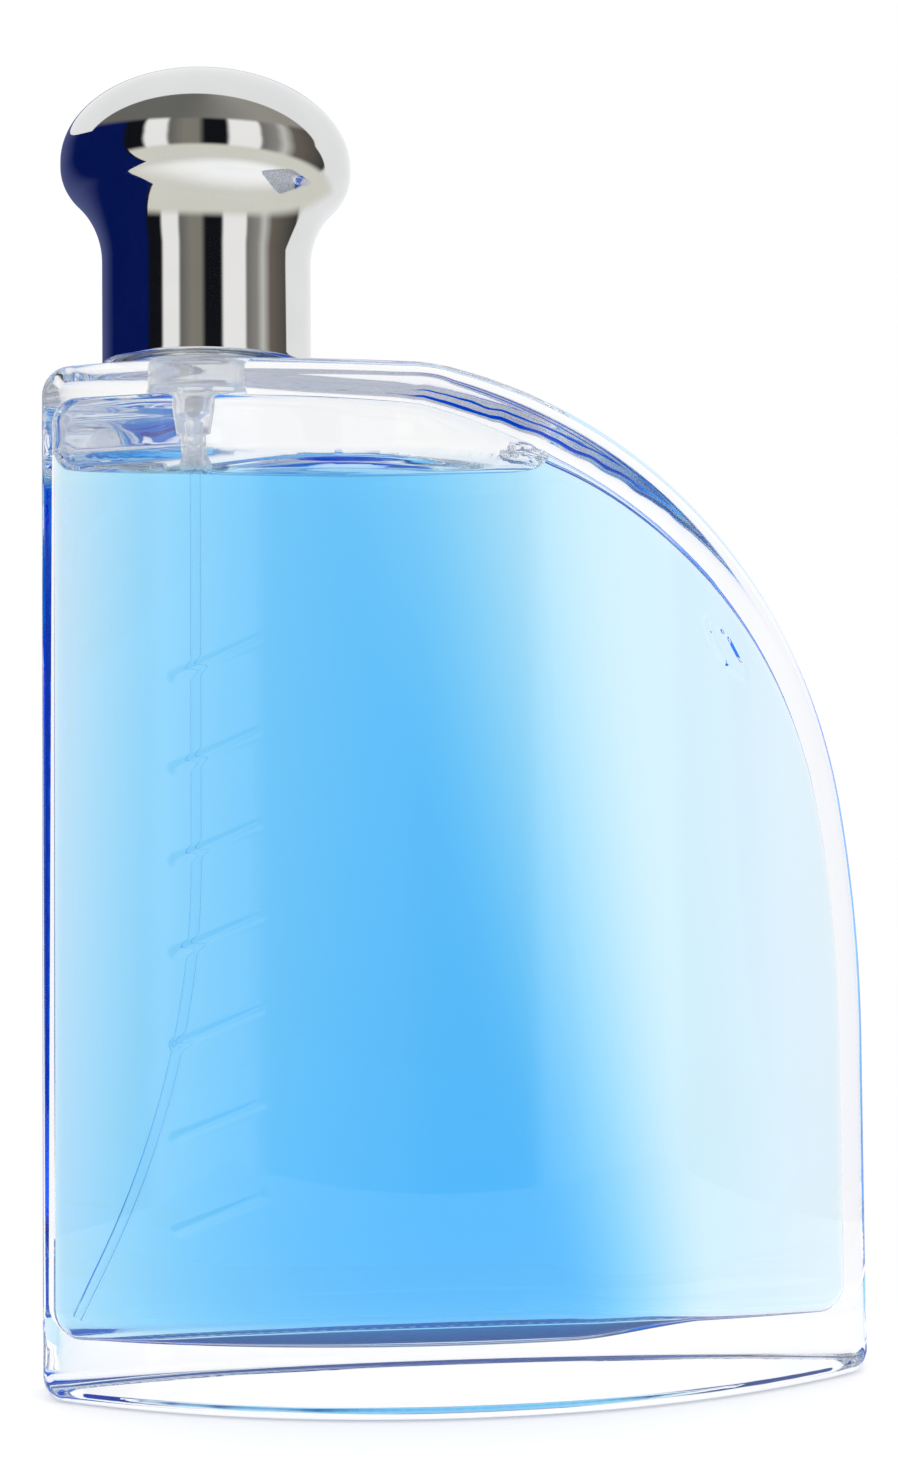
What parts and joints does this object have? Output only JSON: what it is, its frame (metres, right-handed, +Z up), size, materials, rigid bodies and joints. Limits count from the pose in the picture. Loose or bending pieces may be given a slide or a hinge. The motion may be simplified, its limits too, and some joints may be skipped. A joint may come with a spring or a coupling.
{
  "type": "aftershave spray bottle",
  "caption": "Sail-shaped clear glass bottle of blue aftershave with a crimped spray pump, a bent dip tube and a polished mushroom-shaped pull-off cap.",
  "frame": {"origin": "on the table under the centre of the bottle", "axes": "+Z up, -Y towards the front face, +X towards the curved side of the sail"},
  "size_m": [0.086, 0.0332, 0.1365],
  "materials": {
    "glass": "clear polished",
    "liquid": "clear blue liquid",
    "clear_plastic": "translucent",
    "white_plastic": "moulded",
    "natural_plastic": "moulded, milky",
    "seal": "matte",
    "spring_steel": "bright drawn wire",
    "aluminium": "bright anodised",
    "cap_metal": "mirror polished"
  },
  "bodies": {
    "bottle": {"glass_bottle": "glass", "aftershave_fill": "liquid", "dip_tube": "clear_plastic", "pump_housing": "natural_plastic", "return_spring": "spring_steel", "stem_gasket": "seal", "turret": "white_plastic", "neck_gasket": "seal", "crimp_ferrule": "aluminium", "collar_ring": "aluminium"},
    "inlet_valve": {"inlet_ball": "spring_steel"},
    "stem": {"pump_stem": "white_plastic", "valve_pin": "white_plastic", "preload_spring": "spring_steel"},
    "piston": {"piston": "natural_plastic"},
    "actuator": {"actuator_button": "white_plastic", "actuator_shell": "aluminium", "nozzle_insert": "natural_plastic"},
    "cap": {"cap_shell": "cap_metal", "cap_liner": "white_plastic"}
  },
  "joints": [
    {"name": "cap_lift", "type": "slide", "parent": "bottle", "child": "cap", "axis": [0, 0, 1], "range_m": [0, 0.03]},
    {"name": "button_press", "type": "slide", "parent": "bottle", "child": "stem", "axis": [0, 0, -1], "range_m": [0, 0.004], "stiffness_N_per_m": 1500, "springref_m": -0.003, "deforming": ["return_spring"]},
    {"name": "actuator_turn", "type": "hinge", "parent": "stem", "child": "actuator", "pos_m": [-0.026, 0, 0.125], "axis": [0, 0, 1], "continuous": true},
    {"name": "piston_lift", "type": "slide", "parent": "stem", "child": "piston", "axis": [0, 0, 1], "range_m": [0, 0.0005], "stiffness_N_per_m": 1000, "springref_m": -0.001, "deforming": ["preload_spring"]},
    {"name": "ball_lift", "type": "slide", "parent": "bottle", "child": "inlet_valve", "axis": [0, 0, 1], "range_m": [0, 0.0008]}
  ]
}
